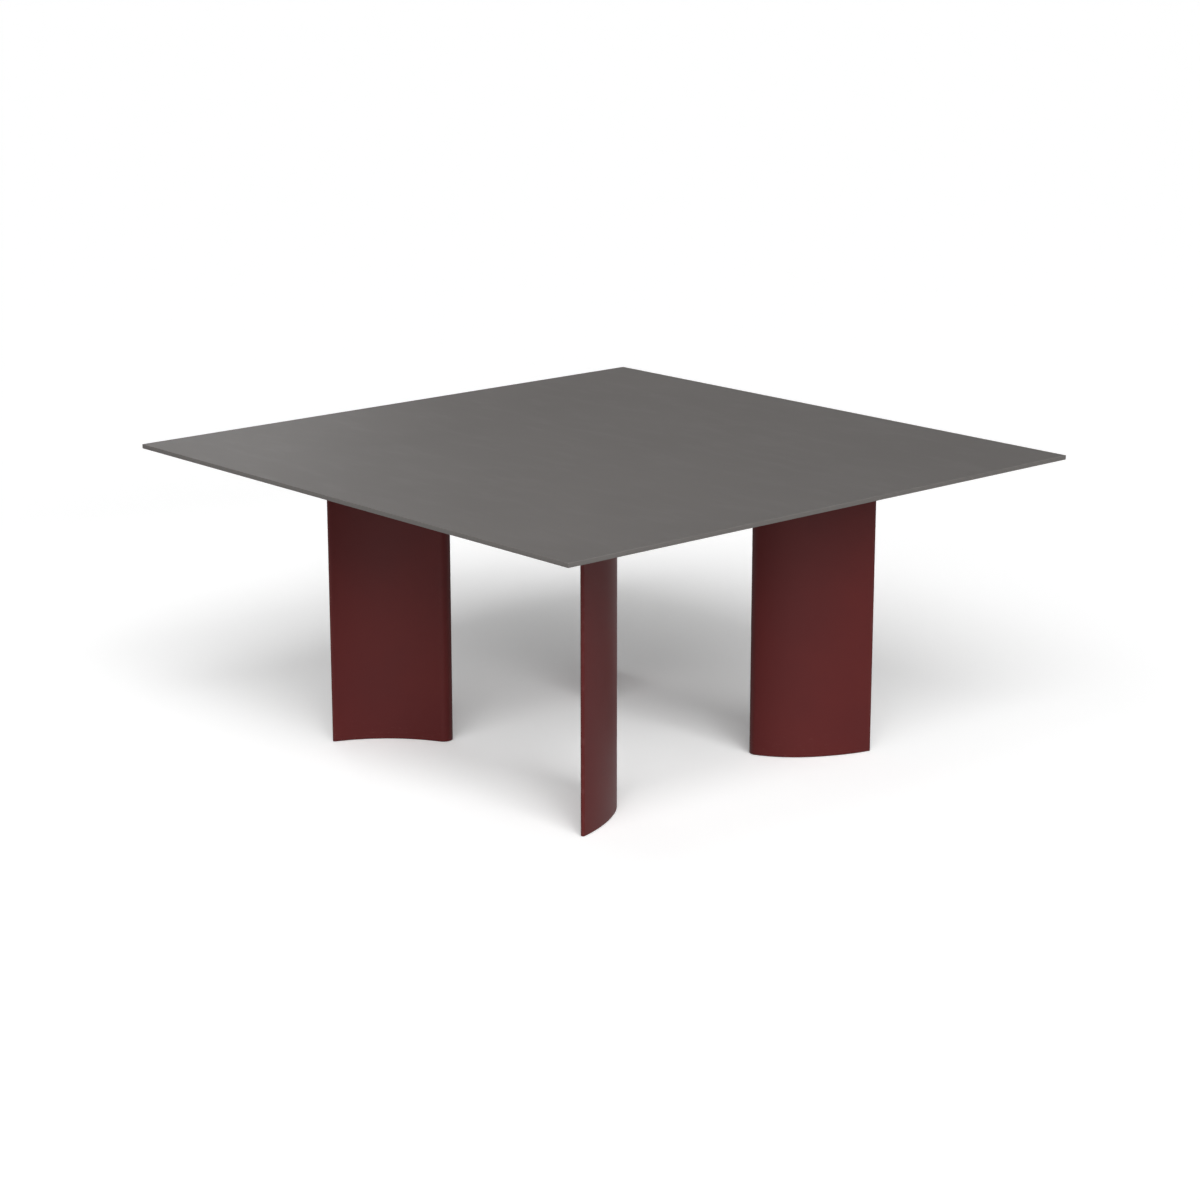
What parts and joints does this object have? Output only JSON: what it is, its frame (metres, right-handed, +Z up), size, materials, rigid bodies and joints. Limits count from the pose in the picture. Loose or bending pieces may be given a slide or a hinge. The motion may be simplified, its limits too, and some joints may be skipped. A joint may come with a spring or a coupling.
{
  "type": "square dining table",
  "caption": "Square dining table with a thin flat top on four hollow wing-section legs, a hidden steel frame and levelling feet.",
  "frame": {"origin": "on the floor under the middle of the top", "axes": "+Z up, +X to the right and +Y to the rear, along the sides of the square top"},
  "size_m": [1.6, 1.6, 0.761],
  "materials": {
    "top": "matte solid laminate, warm grey",
    "leg": "satin powder coat, deep burgundy",
    "leg_inside": "thin burgundy powder coat",
    "frame": "fine-textured powder coat, anthracite",
    "fastener": "zinc-plated",
    "plastic": "matte black"
  },
  "bodies": {
    "table": {"cross_rail_centre": "frame", "cross_rail_left": "frame", "cross_rail_right": "frame", "foot_plate_front_left": "leg_inside", "foot_plate_front_right": "leg_inside", "foot_plate_rear_left": "leg_inside", "foot_plate_rear_right": "leg_inside", "head_plate_front_left": "leg", "head_plate_front_right": "leg", "head_plate_rear_left": "leg", "head_plate_rear_right": "leg", "leg_bolts": "fastener", "leg_rib_front_left_nose": "leg_inside", "leg_rib_front_left_tail": "leg_inside", "leg_rib_front_right_nose": "leg_inside", "leg_rib_front_right_tail": "leg_inside", "leg_rib_rear_left_nose": "leg_inside", "leg_rib_rear_left_tail": "leg_inside", "leg_rib_rear_right_nose": "leg_inside", "leg_rib_rear_right_tail": "leg_inside", "leg_skin_front_left": "leg", "leg_skin_front_right": "leg", "leg_skin_rear_left": "leg", "leg_skin_rear_right": "leg", "long_rail_front": "frame", "long_rail_rear": "frame", "outrigger_front_centre": "frame", "outrigger_front_left": "frame", "outrigger_front_right": "frame", "outrigger_rear_centre": "frame", "outrigger_rear_left": "frame", "outrigger_rear_right": "frame", "rail_end_caps": "plastic", "rail_rivet_nuts": "fastener", "table_top": "top", "top_fixing_tabs": "frame", "top_screws": "fastener"},
    "foot_front_left_nose": {"foot_pad_front_left_nose": "plastic", "foot_stud_front_left_nose": "fastener"},
    "foot_front_left_tail": {"foot_pad_front_left_tail": "plastic", "foot_stud_front_left_tail": "fastener"},
    "foot_front_right_nose": {"foot_pad_front_right_nose": "plastic", "foot_stud_front_right_nose": "fastener"},
    "foot_front_right_tail": {"foot_pad_front_right_tail": "plastic", "foot_stud_front_right_tail": "fastener"},
    "foot_rear_left_nose": {"foot_pad_rear_left_nose": "plastic", "foot_stud_rear_left_nose": "fastener"},
    "foot_rear_left_tail": {"foot_pad_rear_left_tail": "plastic", "foot_stud_rear_left_tail": "fastener"},
    "foot_rear_right_nose": {"foot_pad_rear_right_nose": "plastic", "foot_stud_rear_right_nose": "fastener"},
    "foot_rear_right_tail": {"foot_pad_rear_right_tail": "plastic", "foot_stud_rear_right_tail": "fastener"}
  },
  "joints": [
    {"name": "level_front_left_nose", "type": "slide", "parent": "table", "child": "foot_front_left_nose", "axis": [0, 0, -1], "range_m": [0, 0.008]},
    {"name": "level_front_left_tail", "type": "slide", "parent": "table", "child": "foot_front_left_tail", "axis": [0, 0, -1], "range_m": [0, 0.008]},
    {"name": "level_front_right_nose", "type": "slide", "parent": "table", "child": "foot_front_right_nose", "axis": [0, 0, -1], "range_m": [0, 0.008]},
    {"name": "level_front_right_tail", "type": "slide", "parent": "table", "child": "foot_front_right_tail", "axis": [0, 0, -1], "range_m": [0, 0.008]},
    {"name": "level_rear_left_nose", "type": "slide", "parent": "table", "child": "foot_rear_left_nose", "axis": [0, 0, -1], "range_m": [0, 0.008]},
    {"name": "level_rear_left_tail", "type": "slide", "parent": "table", "child": "foot_rear_left_tail", "axis": [0, 0, -1], "range_m": [0, 0.008]},
    {"name": "level_rear_right_nose", "type": "slide", "parent": "table", "child": "foot_rear_right_nose", "axis": [0, 0, -1], "range_m": [0, 0.008]},
    {"name": "level_rear_right_tail", "type": "slide", "parent": "table", "child": "foot_rear_right_tail", "axis": [0, 0, -1], "range_m": [0, 0.008]}
  ]
}
